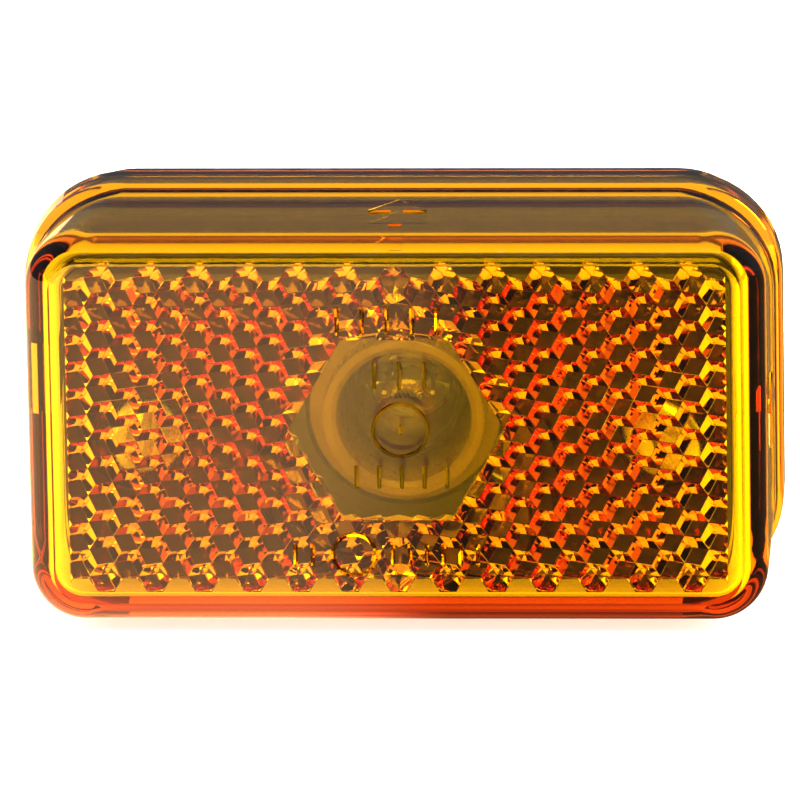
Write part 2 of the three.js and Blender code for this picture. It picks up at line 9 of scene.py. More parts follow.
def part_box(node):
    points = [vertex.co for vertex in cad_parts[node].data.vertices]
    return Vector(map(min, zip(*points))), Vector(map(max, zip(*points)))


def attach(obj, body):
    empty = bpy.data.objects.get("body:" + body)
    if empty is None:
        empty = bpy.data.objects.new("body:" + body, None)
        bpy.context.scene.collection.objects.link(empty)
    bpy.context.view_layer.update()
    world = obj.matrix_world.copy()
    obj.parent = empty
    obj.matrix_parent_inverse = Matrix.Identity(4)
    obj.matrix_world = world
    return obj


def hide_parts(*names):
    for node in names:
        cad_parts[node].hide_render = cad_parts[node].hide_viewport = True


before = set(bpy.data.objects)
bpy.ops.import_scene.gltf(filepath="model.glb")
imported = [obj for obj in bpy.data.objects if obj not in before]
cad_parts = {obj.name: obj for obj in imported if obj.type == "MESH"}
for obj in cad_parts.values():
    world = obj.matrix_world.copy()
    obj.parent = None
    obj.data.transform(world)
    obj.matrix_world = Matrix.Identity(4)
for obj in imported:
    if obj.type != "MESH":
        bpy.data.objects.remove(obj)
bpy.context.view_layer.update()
MM = 0.001

# ---------------------------------------------------------------------------
# Camera: a long lens from a little above and to the right of the lamp's front,
# turned so that the lamp's long edges lie level in the picture.
lens_low, lens_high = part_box("lens_cover")
CAMERA_AZIMUTH = np.radians(3.4)
CAMERA_ELEVATION = np.radians(17.0)
CAMERA_DISTANCE = 1.2
PICTURE_WIDTH = 70.4 * MM
PICTURE_SHIFT = (0.40 * MM, 3.06 * MM)
SENSOR_WIDTH = 36.0


def make_camera():
    """Looks along the two angles; its right-hand axis is the lamp's X axis flattened onto the picture."""
    back = Vector((
        np.sin(CAMERA_AZIMUTH) * np.cos(CAMERA_ELEVATION),
        -np.cos(CAMERA_AZIMUTH) * np.cos(CAMERA_ELEVATION),
        np.sin(CAMERA_ELEVATION),
    ))
    right = (Vector((1, 0, 0)) - back * back.x).normalized()
    up = back.cross(right)
    target = Vector((0, lens_low.y, 0)) + right * PICTURE_SHIFT[0] + up * PICTURE_SHIFT[1]
    data = bpy.data.cameras.new("long_lens")
    data.lens = SENSOR_WIDTH * CAMERA_DISTANCE / PICTURE_WIDTH
    data.sensor_width = SENSOR_WIDTH
    data.clip_start = 0.05
    data.clip_end = 10
    camera = bpy.data.objects.new("long_lens", data)
    turn = Matrix((right, up, back)).transposed().to_4x4()
    camera.matrix_world = Matrix.Translation(target + back * CAMERA_DISTANCE) @ turn
    bpy.context.scene.collection.objects.link(camera)
    bpy.context.scene.camera = camera


make_camera()

# ---------------------------------------------------------------------------
# Studio: a plain white floor under the lamp's lower edge, a pale room that is brightest
# behind the lamp and dim in reflections, and three soft boxes that aren't reflected. Mirrored rays see the
# floor as a painted orange reflection, brighter on the left.
FLOOR_HALF = 4.0
FLOOR_WHITE = (0.93, 0.93, 0.93, 1)
FLOOR_GLOW = 0.6
# Painted reflection: an orange glow on the floor that only mirrored rays see, bright at the left and dim at
# the right.
PAINTED_REFLECTION_FROM_X = -12 * MM
PAINTED_REFLECTION_TO_X = 5 * MM
PAINTED_REFLECTION_BRIGHT = 3.3
PAINTED_REFLECTION_DARK = 0.3
PAINTED_REFLECTION_COLOUR = (1.0, 0.54, 0.26, 1)
TOWARDS_CAMERA = (0.057, -0.955, 0.292)
FRONT_COSINES = (0.2, 0.93)
BRIGHT_BACK = 1.45
DARK_FRONT = 0.22
MIRROR_ROOM = 0.14


def join_nodes(tree, kind, inputs, settings=(), output=0):
    """Adds one shader node; each input is a number, a colour or another node's output socket."""
    node = tree.nodes.new(kind)
    for key, value in dict(settings).items():
        setattr(node, key, value)
    for key, value in inputs.items():
        if isinstance(value, bpy.types.NodeSocket):
            tree.links.new(value, node.inputs[key])
        else:
            node.inputs[key].default_value = value
    return node.outputs[output]


def spread(tree, value, low, high, at_low, at_high):
    """Smooth change from at_low to at_high as value goes from low to high."""
    numbers = {"Value": value, "From Min": low, "From Max": high, "To Min": at_low, "To Max": at_high}
    return join_nodes(tree, "ShaderNodeMapRange", numbers, {"interpolation_type": "SMOOTHSTEP"})


def mirror_share(tree):
    """1 on a ray that a surface has mirrored, 0 on any other."""
    path = tree.nodes.new("ShaderNodeLightPath").outputs
    kinds = {0: path["Is Glossy Ray"], 1: path["Is Reflection Ray"]}
    return join_nodes(tree, "ShaderNodeMath", kinds, {"operation": "MULTIPLY"})


def make_floor():
    """A square sheet at the height of the lens's lowest edge. Mirrored rays see a painted orange
    reflection on it in place of the white floor, so the lens mirrors it brighter on the left.
    """
    corners = np.array([[-1, -1], [1, -1], [1, 1], [-1, 1]]) * FLOOR_HALF
    mesh = bpy.data.meshes.new("floor")
    mesh.from_pydata([(x, y, lens_low.z) for x, y in corners.tolist()], [], [(0, 1, 2, 3)])
    floor = bpy.data.objects.new("floor", mesh)
    bpy.context.scene.collection.objects.link(floor)
    material = bpy.data.materials.new("floor_white")
    material.use_nodes = True
    tree = material.node_tree
    surface = tree.nodes["Principled BSDF"]
    surface.inputs["Base Color"].default_value = FLOOR_WHITE
    surface.inputs["Roughness"].default_value = 0.7
    surface.inputs["Specular IOR Level"].default_value = 0.1
    surface.inputs["Emission Color"].default_value = (1, 1, 1, 1)
    surface.inputs["Emission Strength"].default_value = FLOOR_GLOW
    place = tree.nodes.new("ShaderNodeTexCoord").outputs["Object"]
    across = join_nodes(tree, "ShaderNodeSeparateXYZ", {0: place})
    # Painted reflection for mirrored rays only: strong on the left of the floor, weak on the right.
    painted_reflection_strength = spread(tree, across, PAINTED_REFLECTION_FROM_X, PAINTED_REFLECTION_TO_X, PAINTED_REFLECTION_BRIGHT, PAINTED_REFLECTION_DARK)
    painted_reflection = join_nodes(tree, "ShaderNodeEmission", {"Strength": painted_reflection_strength, "Color": PAINTED_REFLECTION_COLOUR})
    both = join_nodes(tree, "ShaderNodeMixShader", {0: mirror_share(tree), 1: surface.outputs[0], 2: painted_reflection})
    tree.links.new(both, tree.nodes["Material Output"].inputs["Surface"])
    mesh.materials.append(material)


def make_room():
    """The room's light by direction: brightest behind the lamp, darkest behind the camera, and dimmer
    where a surface mirrors it."""
    world = bpy.data.worlds.new("room")
    bpy.context.scene.world = world
    world.use_nodes = True
    tree = world.node_tree
    direction = tree.nodes.new("ShaderNodeTexCoord").outputs["Generated"]
    pair = {0: direction, 1: TOWARDS_CAMERA}
    towards = join_nodes(tree, "ShaderNodeVectorMath", pair, {"operation": "DOT_PRODUCT"}, "Value")
    front = spread(tree, towards, *FRONT_COSINES, BRIGHT_BACK, DARK_FRONT)
    mirrored = spread(tree, mirror_share(tree), 0.0, 1.0, 1.0, MIRROR_ROOM)
    strength = join_nodes(tree, "ShaderNodeMath", {0: front, 1: mirrored}, {"operation": "MULTIPLY"})
    tree.links.new(strength, tree.nodes["Background"].inputs["Strength"])
    tree.nodes["Background"].inputs["Color"].default_value = (1, 1, 1, 1)


def make_light(name, place, size, power):
    """A soft box: a rectangular area light at place, turned to face the lamp and left out of reflections."""
    data = bpy.data.lights.new(name, "AREA")
    data.shape = "RECTANGLE"
    data.size, data.size_y = size
    data.energy = power
    light = bpy.data.objects.new(name, data)
    turn = (-Vector(place)).to_track_quat("-Z", "Y").to_matrix().to_4x4()
    light.matrix_world = Matrix.Translation(place) @ turn
    light.visible_glossy = False
    bpy.context.scene.collection.objects.link(light)


make_floor()
make_room()
make_light("left_box", (-0.55, -0.45, 0.35), (0.35, 0.5), 4)
make_light("right_box", (0.6, 0.10, 0.30), (0.3, 0.4), 3)
make_light("top_box", (0.05, -0.45, 0.75), (0.5, 0.4), 9)
bpy.context.scene.view_settings.view_transform = "Standard"

# ---------------------------------------------------------------------------
# Mounting pad: closed-cell foam 1 mm thick, die-cut, with holes for the two screws and
# the bulb socket. It is glued behind the base and seals it against the vehicle's panel.
pad_low, pad_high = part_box("mounting_pad")
holder_low, holder_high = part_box("holder_body")
SOCKET = (0.0, (holder_low.z + holder_high.z) / 2)
screw_low, screw_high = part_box("mounting_screw_right")
SCREW_X = (screw_low.x + screw_high.x) / 2
PAD_CORNER = 8.0 * MM
PAD_EDGE = 0.28 * MM
PAD_SOCKET_R = 11.0 * MM
PAD_SCREW_R = 2.35 * MM
BEYOND = 1.0 * MM
NOISE_RANGE = (0.3, 0.7)
MIX_A, MIX_B, MIX_RESULT = 6, 7, 2


def rounded_ring(half_x, half_z, corner, y, arc_points=14, straight=0.25 * MM):
    """Rounded rectangle in the plane at y: four arcs, with a point a little way along each straight side."""
    angle = (np.arange(4)[:, None] + np.linspace(0, 1, arc_points)[None, :]) * np.pi / 2
    sign_x = np.array([1, -1, -1, 1])[:, None]
    sign_z = np.array([1, 1, -1, -1])[:, None]
    x = sign_x * (half_x - corner) + corner * np.cos(angle)
    z = sign_z * (half_z - corner) + corner * np.sin(angle)
    arcs = np.stack([x, z], -1)
    along = np.stack([np.sin(angle), -np.cos(angle)], -1) * straight
    ring = np.concatenate([arcs[:, :1] + along[:, :1], arcs, arcs[:, -1:] - along[:, -1:]], 1).reshape(-1, 2)
    return np.stack([ring[:, 0], np.full(len(ring), y), ring[:, 1]], -1)


def skin_rings(rings, loop=False):
    """Joins a stack of equal rings with four-sided faces; the two ends are closed with one flat face each,
    or joined to each other when the stack is a loop."""
    rings = np.asarray(rings)
    count, points = rings.shape[:2]
    row = np.arange(count if loop else count - 1)
    here = row[:, None] * points
    above = ((row + 1) % count)[:, None] * points
    column = np.arange(points)[None, :]
    beside = (column + 1) % points
    quads = np.stack([here + column, here + beside, above + beside, above + column], -1)
    faces = quads.reshape(-1, 4).tolist()
    if not loop:
        faces.append(list(range(points - 1, -1, -1)))
        faces.append([(count - 1) * points + i for i in range(points)])
    return rings.reshape(-1, 3), faces


def eased(outline, reach, loop=False, steps=5):
    """Rounds each corner of a polyline: a parabola between the points a short reach before and after it."""
    corner = np.asarray(outline, float)
    back = np.roll(corner, 1, 0) - corner
    on = np.roll(corner, -1, 0) - corner
    back_length = np.linalg.norm(back, axis=1, keepdims=True)
    on_length = np.linalg.norm(on, axis=1, keepdims=True)
    start = corner + back / back_length * np.minimum(reach, 0.45 * back_length)
    end = corner + on / on_length * np.minimum(reach, 0.45 * on_length)
    t = np.linspace(0, 1, steps)[None, :, None]
    curve = (1 - t) ** 2 * start[:, None] + 2 * t * (1 - t) * corner[:, None] + t ** 2 * end[:, None]
    width = corner.shape[1]
    if loop:
        return curve.reshape(-1, width)
    return np.concatenate([corner[:1], curve[1:-1].reshape(-1, width), corner[-1:]])


def turned(radius, y, sides, centre=(0.0, 0.0)):
    """Rings round a line along Y: x and z are radius times the cosine and sine of the angle. The radius
    may change from row to row and from side to side."""
    angle = np.arange(sides) / sides * 2 * np.pi
    radius = np.broadcast_to(radius if np.ndim(radius) == 2 else np.reshape(radius, (-1, 1)), (len(y), sides))
    x = centre[0] + radius * np.cos(angle)
    z = centre[1] + radius * np.sin(angle)
    return np.stack([x, np.broadcast_to(np.reshape(y, (-1, 1)), x.shape), z], -1)


def turn_outwards(mesh, flatten=False):
    """Merges doubled points, joins coplanar triangles if asked, then makes all faces point outwards."""
    work = bmesh.new()
    work.from_mesh(mesh)
    bmesh.ops.remove_doubles(work, verts=work.verts, dist=1e-7)
    if flatten:
        bmesh.ops.dissolve_limit(work, angle_limit=0.01, verts=work.verts, edges=work.edges)
    bmesh.ops.recalc_face_normals(work, faces=work.faces)
    work.to_mesh(mesh)
    work.free()


def shade(piece, sharp_angle):
    """Smooth shading, broken at edges sharper than the angle in degrees."""
    piece.data.polygons.foreach_set("use_smooth", np.ones(len(piece.data.polygons), dtype=bool))
    piece.data.set_sharp_from_angle(angle=np.radians(sharp_angle))


def new_piece(name, points, faces, sharp_angle=32):
    """A closed mesh object at the origin, with its faces outwards."""
    mesh = bpy.data.meshes.new(name)
    mesh.from_pydata(np.asarray(points).tolist(), [], faces)
    turn_outwards(mesh)
    piece = bpy.data.objects.new(name, mesh)
    bpy.context.scene.collection.objects.link(piece)
    shade(piece, sharp_angle)
    return piece


def settle(piece):
    """Puts the result of a piece's modifiers into its mesh and removes them."""
    evaluated = piece.evaluated_get(bpy.context.evaluated_depsgraph_get())
    mesh = bpy.data.meshes.new_from_object(evaluated)
    piece.modifiers.clear()
    piece.data = mesh


def combine(piece, tool, operation):
    """Exact boolean of a closed piece with a closed tool, which is removed afterwards."""
    modifier = piece.modifiers.new("combine", "BOOLEAN")
    modifier.operation = operation
    modifier.solver = "EXACT"
    modifier.object = tool
    settle(piece)
    bpy.data.objects.remove(tool)


def bar(radius, low_y, high_y, centre, sides=96):
    """Plain round bar along Y, for joining to a piece or for cutting a hole."""
    return new_piece("bar", *skin_rings(turned([radius, radius], [low_y, high_y], sides, centre)))


def block(low, high):
    """Plain rectangular bar between two corners, for joining or cutting."""
    x, z = np.array([low[0], high[0], high[0], low[0]]), np.array([low[2], low[2], high[2], high[2]])
    return new_piece("block", *skin_rings([np.stack([x, np.full(4, y), z], -1) for y in (low[1], high[1])]))


def new_material(name):
    """A node material: returns it, its tree, its main shader and its Object coordinates."""
    material = bpy.data.materials.new(name)
    material.use_nodes = True
    tree = material.node_tree
    place = tree.nodes.new("ShaderNodeTexCoord").outputs["Object"]
    return material, tree, tree.nodes["Principled BSDF"], place


def noise(tree, place, scale, detail=4.0, stretch=None):
    """Cloudy noise with about `scale` blotches to the metre, drawn out along an axis by `stretch`."""
    if stretch:
        place = join_nodes(tree, "ShaderNodeMapping", {"Vector": place, "Scale": stretch})
    return join_nodes(tree, "ShaderNodeTexNoise", {"Vector": place, "Scale": scale, "Detail": detail})


def tint(tree, shader, value, first, second):
    """Base colour that goes from first to second as the noise value goes from low to high."""
    share = spread(tree, value, *NOISE_RANGE, 0.0, 1.0)
    colours = {MIX_A: (*first, 1), MIX_B: (*second, 1), "Factor": share}
    mixed = join_nodes(tree, "ShaderNodeMix", colours, {"data_type": "RGBA"}, MIX_RESULT)
    tree.links.new(mixed, shader.inputs["Base Color"])


def roughen(tree, shader, value, low, high):
    """Roughness that goes from low to high with the noise value."""
    tree.links.new(spread(tree, value, *NOISE_RANGE, low, high), shader.inputs["Roughness"])


def emboss(tree, shader, value, height):
    """Bump of the given height in metres."""
    bump = join_nodes(tree, "ShaderNodeBump", {"Height": value, "Distance": height, "Strength": 1.0})
    tree.links.new(bump, shader.inputs["Normal"])


def closed_cell_foam():
    """Near-black foam: fine round cells as pits, with a slightly greyer skin in places."""
    material, tree, shader, place = new_material("closed_cell_foam")
    cells = join_nodes(tree, "ShaderNodeTexVoronoi", {"Vector": place, "Scale": 2600.0}, output="Distance")
    tint(tree, shader, noise(tree, place, 500.0), (0.016, 0.016, 0.019), (0.04, 0.04, 0.046))
    roughen(tree, shader, noise(tree, place, 1500.0), 0.85, 0.98)
    emboss(tree, shader, cells, 0.12 * MM)
    return material


def make_pad():
    """Rounded rectangle with eased edges, pierced by three round holes."""
    inset = [[PAD_EDGE * 3, pad_low.y], [0, pad_low.y], [0, pad_high.y], [PAD_EDGE * 3, pad_high.y]]
    rows = eased(inset, PAD_EDGE)
    rings = [rounded_ring(pad_high.x - i, pad_high.z - i, PAD_CORNER - i, y) for i, y in rows]
    pad = new_piece("foam_pad", *skin_rings(rings))
    ends = (pad_low.y - BEYOND, pad_high.y + BEYOND)
    combine(pad, bar(PAD_SOCKET_R, *ends, SOCKET), "DIFFERENCE")
    for side in (-1, 1):
        combine(pad, bar(PAD_SCREW_R, *ends, (side * SCREW_X, 0)), "DIFFERENCE")
    shade(pad, 40)
    return pad


def fit(piece, material, body, slot, *nodes):
    """Gives a finished piece its material, its body and the CAD nodes it stands for; the finish slot is not
    used.
    """
    piece.data.materials.clear()
    piece.data.materials.append(material)
    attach(piece, body)
    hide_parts(*nodes)


pad = make_pad()
fit(pad, closed_cell_foam(), "base", "foam_rubber", "mounting_pad")

# ---------------------------------------------------------------------------
# Base housing: one black injection moulding with a spark-textured surface. A skirt fits
# inside the lens, a hollow plinth carries the pad, and the socket and screw bosses pass through.
base_low, base_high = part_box("base_housing")
BASE_EDGE = 0.25 * MM
SKIRT = np.array([30.0, 15.2, 5.0]) * MM
SKIRT_WALL = 1.2 * MM
SKIRT_Y = -13.3 * MM
FLOOR_OUTLINE = np.array([31.2, 16.4, 6.8]) * MM
FLOOR_FRONT_Y = -8.3 * MM
PLINTH_FRONT_Y = -6.0 * MM
PLINTH_INSIDE_Y = -4.7 * MM
PLINTH_WALL = 1.8 * MM
COLLAR_R = 10.3 * MM
SOCKET_R = 8.9 * MM
COLLAR_FRONT_Y = -9.2 * MM
COLLAR_BACK_Y = -1.0 * MM
BOSS_R = 4.5 * MM
BOSS_Y = -11.3 * MM
SCREW_HOLE_R = 2.3 * MM
KEY_Z = (0.65 * MM, 6.55 * MM)
TONGUE_X = (-31.9 * MM, -31.3 * MM)
TONGUE_OVERLAP = 0.3 * MM


def spark_textured_plastic():
    """Black plastic with the fine pitted texture of a spark-eroded mould."""
    material, tree, shader, place = new_material("spark_textured_plastic")
    grit = noise(tree, place, 5200.0, 2.0)
    tint(tree, shader, noise(tree, place, 260.0), (0.018, 0.018, 0.020), (0.030, 0.030, 0.033))
    roughen(tree, shader, grit, 0.38, 0.62)
    emboss(tree, shader, grit, 0.03 * MM)
    return material


def collar_bar():
    """Socket collar as a turned bar with eased ends."""
    ends = [[0, COLLAR_FRONT_Y], [COLLAR_R, COLLAR_FRONT_Y], [COLLAR_R, COLLAR_BACK_Y], [0, COLLAR_BACK_Y]]
    radius, y = eased(ends, BASE_EDGE).T
    return new_piece("collar", *skin_rings(turned(radius, y, 128, SOCKET)))


def make_base():
    """One skin of rounded rectangles from inside the skirt, over its edge and out to the plinth, then in
    behind; collar, bosses and tongue are joined on, and the bores are cut last."""
    inner_skirt = SKIRT - SKIRT_WALL
    plinth = np.array([base_high.x, base_high.z, PAD_CORNER])
    inner_plinth = plinth - PLINTH_WALL
    sections = [
        (inner_skirt, FLOOR_FRONT_Y), (inner_skirt, SKIRT_Y), (SKIRT, SKIRT_Y), (SKIRT, FLOOR_FRONT_Y),
        (FLOOR_OUTLINE, FLOOR_FRONT_Y), (FLOOR_OUTLINE, PLINTH_FRONT_Y), (plinth, PLINTH_FRONT_Y),
        (plinth, base_high.y), (inner_plinth, base_high.y), (inner_plinth, PLINTH_INSIDE_Y),
    ]
    rows = eased([[*outline, y] for outline, y in sections], BASE_EDGE)
    base = new_piece("base_moulding", *skin_rings([rounded_ring(*row) for row in rows]))
    combine(base, collar_bar(), "UNION")
    for side in (-1, 1):
        combine(base, bar(BOSS_R, BOSS_Y, base_high.y, (side * SCREW_X, 0)), "UNION")
        combine(base, bar(SCREW_HOLE_R, BOSS_Y - BEYOND, BEYOND, (side * SCREW_X, 0)), "DIFFERENCE")
    back = PLINTH_FRONT_Y + TONGUE_OVERLAP
    tongue = block((TONGUE_X[0], base_low.y, KEY_Z[0]), (TONGUE_X[1], back, KEY_Z[1]))
    foot = block((TONGUE_X[0], FLOOR_FRONT_Y, KEY_Z[0]), (-SKIRT[0], back, KEY_Z[1]))
    combine(base, foot, "UNION")
    combine(base, tongue, "UNION")
    combine(base, bar(SOCKET_R, COLLAR_FRONT_Y - BEYOND, BEYOND, SOCKET, 128), "DIFFERENCE")
    shade(base, 34)
    return base


fit(make_base(), spark_textured_plastic(), "base", "black_plastic", "base_housing")

# ---------------------------------------------------------------------------
# Sealing washers: moulded rubber rings, one under each screw head.
# Their edges are round, because they come out of a mould with no flash.
WASHER_EDGE = 0.3 * MM
WASHER_HOLE_R = 2.25 * MM


def moulded_rubber():
    """Black rubber: dull, with slight bloom in patches."""
    material, tree, shader, place = new_material("moulded_rubber")
    tint(tree, shader, noise(tree, place, 400.0), (0.014, 0.014, 0.016), (0.032, 0.032, 0.035))
    fine = noise(tree, place, 4000.0)
    roughen(tree, shader, fine, 0.62, 0.85)
    emboss(tree, shader, fine, 0.015 * MM)
    return material


def make_washer(node, name, side):
    """A four-cornered section with eased corners, turned round the screw's axis."""
    low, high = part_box(node)
    outer = (high.x - low.x) / 2
    inner = WASHER_HOLE_R
    square = [[inner, low.y], [outer, low.y], [outer, high.y], [inner, high.y]]
    section = eased(square, WASHER_EDGE, loop=True)
    rings = turned(section[:, 0], section[:, 1], 96, (side * SCREW_X, 0))
    return new_piece(name, *skin_rings(rings, loop=True))


rubber = moulded_rubber()
for name, side in (("left", -1), ("right", 1)):
    node = f"screw_washer_{name}"
    fit(make_washer(node, f"sealing_washer_{name}", side), rubber, "base", "black_rubber", node)

# ---------------------------------------------------------------------------
# Mounting screws: zinc-plated self-tapping screws, with a domed head, a cross recess and
# a rolled thread that winds round the shank and runs out at the point.
HEAD_R = 3.6 * MM
HEAD_HEIGHT = 2.2 * MM
DOME_HEIGHT = 1.5 * MM
HEAD_EDGE = 0.2 * MM
NECK_R = 1.56 * MM
ROOT_R = 1.4 * MM
CREST_R = 1.95 * MM
THREAD_PITCH = 1.9 * MM
THREAD_START_Y = 0.2 * MM
THREAD_RUN_IN = 1.2 * MM
RIDGE_SHARE = 0.28
POINT_LENGTH = 3.0 * MM
POINT_BULGE = 0.8
SCREW_SIDES = 72
SHANK_ROWS = 130
RECESS_HALF = (1.9 * MM, 0.4 * MM)
RECESS_DEEP = 1.3 * MM


def zinc_plate():
    """Bright zinc plating: fine cloudy crystals, duller where the plating is thin."""
    material, tree, shader, place = new_material("zinc_plate")
    shader.inputs["Metallic"].default_value = 1.0
    tint(tree, shader, noise(tree, place, 900.0), (0.50, 0.51, 0.54), (0.70, 0.70, 0.71))
    fine = noise(tree, place, 5000.0)
    roughen(tree, shader, fine, 0.20, 0.42)
    emboss(tree, shader, fine, 0.008 * MM)
    return material


def thread_radius(angle, y):
    """Root radius plus a ridge that peaks once a pitch and turns with the angle; it fades in below the
    neck, and the whole shank tapers to nothing over the length of the point."""
    phase = (y - THREAD_START_Y) / THREAD_PITCH - angle / (2 * np.pi)
    ridge = np.clip(1 - np.abs((phase % 1) - 0.5) / RIDGE_SHARE, 0, 1)
    fade_in = np.clip((y - THREAD_START_Y) / THREAD_RUN_IN, 0, 1)
    taper = np.clip((screw_high.y - y) / POINT_LENGTH, 0, 1) ** POINT_BULGE
    core = NECK_R + (ROOT_R - NECK_R) * fade_in
    return (core + (CREST_R - ROOT_R) * ridge * fade_in) * taper


def make_screw(name, side):
    """Domed head as a turned profile, then the shank row by row; two thin bars cut the cross recess."""
    front = screw_low.y
    turn = np.linspace(0, 1, 9) * np.pi / 2
    dome = np.stack([HEAD_R * np.sin(turn), front + DOME_HEIGHT * (1 - np.cos(turn))], -1)
    head_back = front + HEAD_HEIGHT
    neck = [dome[-1], [HEAD_R, head_back], [NECK_R, head_back], [NECK_R, THREAD_START_Y]]
    head = np.concatenate([dome, eased(neck, HEAD_EDGE)[1:]])
    shank_y = np.linspace(THREAD_START_Y, screw_high.y, SHANK_ROWS)[1:]
    angle = np.arange(SCREW_SIDES) / SCREW_SIDES * 2 * np.pi
    shank = thread_radius(angle[None, :], shank_y[:, None])
    radius = np.concatenate([np.repeat(head[:, :1], SCREW_SIDES, 1), shank])
    rings = turned(radius, np.concatenate([head[:, 1], shank_y]), SCREW_SIDES, (side * SCREW_X, 0))
    screw = new_piece(name, *skin_rings(rings))
    for half_x, half_z in (RECESS_HALF, RECESS_HALF[::-1]):
        low = (side * SCREW_X - half_x, front - BEYOND, -half_z)
        high = (side * SCREW_X + half_x, front + RECESS_DEEP, half_z)
        combine(screw, block(low, high), "DIFFERENCE")
    shade(screw, 38)
    return screw


zinc = zinc_plate()
for name, side in (("left", -1), ("right", 1)):
    fit(make_screw(f"tapping_screw_{name}", side), zinc, "base", "zinc_steel", f"mounting_screw_{name}")

# ---------------------------------------------------------------------------
# Holder body: grey moulded plug for the bulb, with a ribbed cup rim at the front, a step,
# a groove for its ring, a flange that stops on the base and a notched finger grip.
CUP_R = 6.0 * MM
RIM_R = 7.25 * MM
STEP_Y = -8.8 * MM
RIM_CHAMFER = 0.5 * MM
CUP_FLOOR_Y = 4.3 * MM
BODY_R = 8.6 * MM
GROOVE_R = 7.75 * MM
GROOVE_Y = (-3.6 * MM, -2.4 * MM)
FLANGE_R = 10.3 * MM
FLANGE_Y = (-0.7 * MM, 1.0 * MM)
GRIP_R = 8.0 * MM
RIM_RIBS = 44
RIB_DEPTH = 0.22 * MM
GRIP_NOTCHES = 16
NOTCH_R = 0.7 * MM
HOLDER_SIDES = 352
RIB_START = 0.5 * MM
RIB_END = 0.3 * MM
NOTCH_START = 0.6 * MM
NOTCH_FULL = 1.0 * MM
GRIP_EDGE = 0.8 * MM
HOLDER_EDGE = 0.16 * MM
ROW_GAP = 0.1 * MM
SAME_RADIUS = 0.01 * MM
BULB_SLOT = ((-4.9 * MM, 3.3 * MM, -2.85 * MM), (4.9 * MM, 13.6 * MM, 2.85 * MM))
STRIP_SLOT_HALF_X = 3.45 * MM
STRIP_SLOT_Y = 12.3 * MM
STRIP_SLOTS_Z = ((-4.9 * MM, -1.85 * MM), (1.85 * MM, 4.9 * MM))


def satin_plastic():
    """Warm grey plastic with faint flow clouds and a satin surface."""
    material, tree, shader, place = new_material("satin_plastic")
    tint(tree, shader, noise(tree, place, 180.0), (0.20, 0.155, 0.115), (0.28, 0.22, 0.17))
    fine = noise(tree, place, 3500.0)
    roughen(tree, shader, fine, 0.24, 0.40)
    emboss(tree, shader, fine, 0.01 * MM)
    return material


def holder_outline():
    """Radius and y along the holder, from the middle of the cup's floor round to the middle of its back."""
    front, back = holder_low.y, holder_high.y
    return eased([
        [0, CUP_FLOOR_Y], [CUP_R, CUP_FLOOR_Y], [CUP_R, front + RIM_CHAMFER], [CUP_R + RIM_CHAMFER, front],
        [RIM_R, front], [RIM_R, front + RIB_START], [RIM_R, STEP_Y - RIB_END], [RIM_R, STEP_Y],
        [BODY_R, STEP_Y], [BODY_R, GROOVE_Y[0]], [GROOVE_R, GROOVE_Y[0]], [GROOVE_R, GROOVE_Y[1]],
        [BODY_R, GROOVE_Y[1]], [BODY_R, FLANGE_Y[0]], [FLANGE_R, FLANGE_Y[0]], [FLANGE_R, FLANGE_Y[1]],
        [GRIP_R, FLANGE_Y[1]], [GRIP_R, FLANGE_Y[1] + NOTCH_START], [GRIP_R, FLANGE_Y[1] + NOTCH_FULL],
        [GRIP_R, back - GRIP_EDGE], [GRIP_R - GRIP_EDGE, back], [0, back],
    ], HOLDER_EDGE)


def holder_radius(radius, y):
    """The outline's radius at every side, less a cosine wave round the cup rim and round notches, cut
    to sqrt(r^2 - aside^2), in the grip."""
    angle = (np.arange(HOLDER_SIDES) / HOLDER_SIDES * 2 * np.pi)[None, :]
    ribbed = (y > holder_low.y + RIB_START - ROW_GAP) & (y < STEP_Y - RIB_END + ROW_GAP)
    on_rim = (np.abs(radius - RIM_R) < SAME_RADIUS) & ribbed
    wave = 0.5 - 0.5 * np.cos(angle * RIM_RIBS)
    on_grip = (np.abs(radius - GRIP_R) < SAME_RADIUS) & (y > FLANGE_Y[1] + NOTCH_START + ROW_GAP)
    pitch = 2 * np.pi / GRIP_NOTCHES
    aside = ((angle % pitch) - pitch / 2) * GRIP_R
    notch = np.sqrt(np.clip(NOTCH_R ** 2 - aside ** 2, 0, None))
    return radius[:, None] - on_rim[:, None] * RIB_DEPTH * wave - on_grip[:, None] * notch


def make_holder():
    """Turned body with its ribs and notches in the surface; slots for bulb and strips are cut after."""
    radius, y = holder_outline().T
    rings = turned(holder_radius(radius, y), y, HOLDER_SIDES, SOCKET)
    holder = new_piece("bulb_holder", *skin_rings(rings))
    z = SOCKET[1]
    back = holder_high.y + BEYOND
    combine(holder, block(*(np.array(BULB_SLOT) + (0, 0, z))), "DIFFERENCE")
    for low, high in STRIP_SLOTS_Z:
        slot = block((-STRIP_SLOT_HALF_X, STRIP_SLOT_Y, z + low), (STRIP_SLOT_HALF_X, back, z + high))
        combine(holder, slot, "DIFFERENCE")
    shade(holder, 34)
    return holder


fit(make_holder(), satin_plastic(), "holder", "pale_plastic", "holder_body")

# ---------------------------------------------------------------------------
# Holder ring: a moulded rubber O-ring that sits in the holder's groove
# and grips the bore of the socket.
ring_low, ring_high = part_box("holder_ring")


def make_ring():
    """Torus: a small circle carried round a large one."""
    section_r = (ring_high.y - ring_low.y) / 2
    ring_r = (ring_high.x - ring_low.x) / 2 - section_r
    around = np.linspace(0, 2 * np.pi, 20, endpoint=False)
    middle = (ring_low.y + ring_high.y) / 2
    rings = turned(ring_r + section_r * np.cos(around), middle + section_r * np.sin(around), 128, SOCKET)
    return new_piece("o_ring", *skin_rings(rings, loop=True), sharp_angle=60)


fit(make_ring(), rubber, "holder", "black_rubber", "holder_ring")

# ---------------------------------------------------------------------------
# Contact strips: two stamped brass strips pushed into the holder from behind. Each has a
# spring leaf beside the bulb's base and a 6.3 mm blade at the back, with its edges broken.


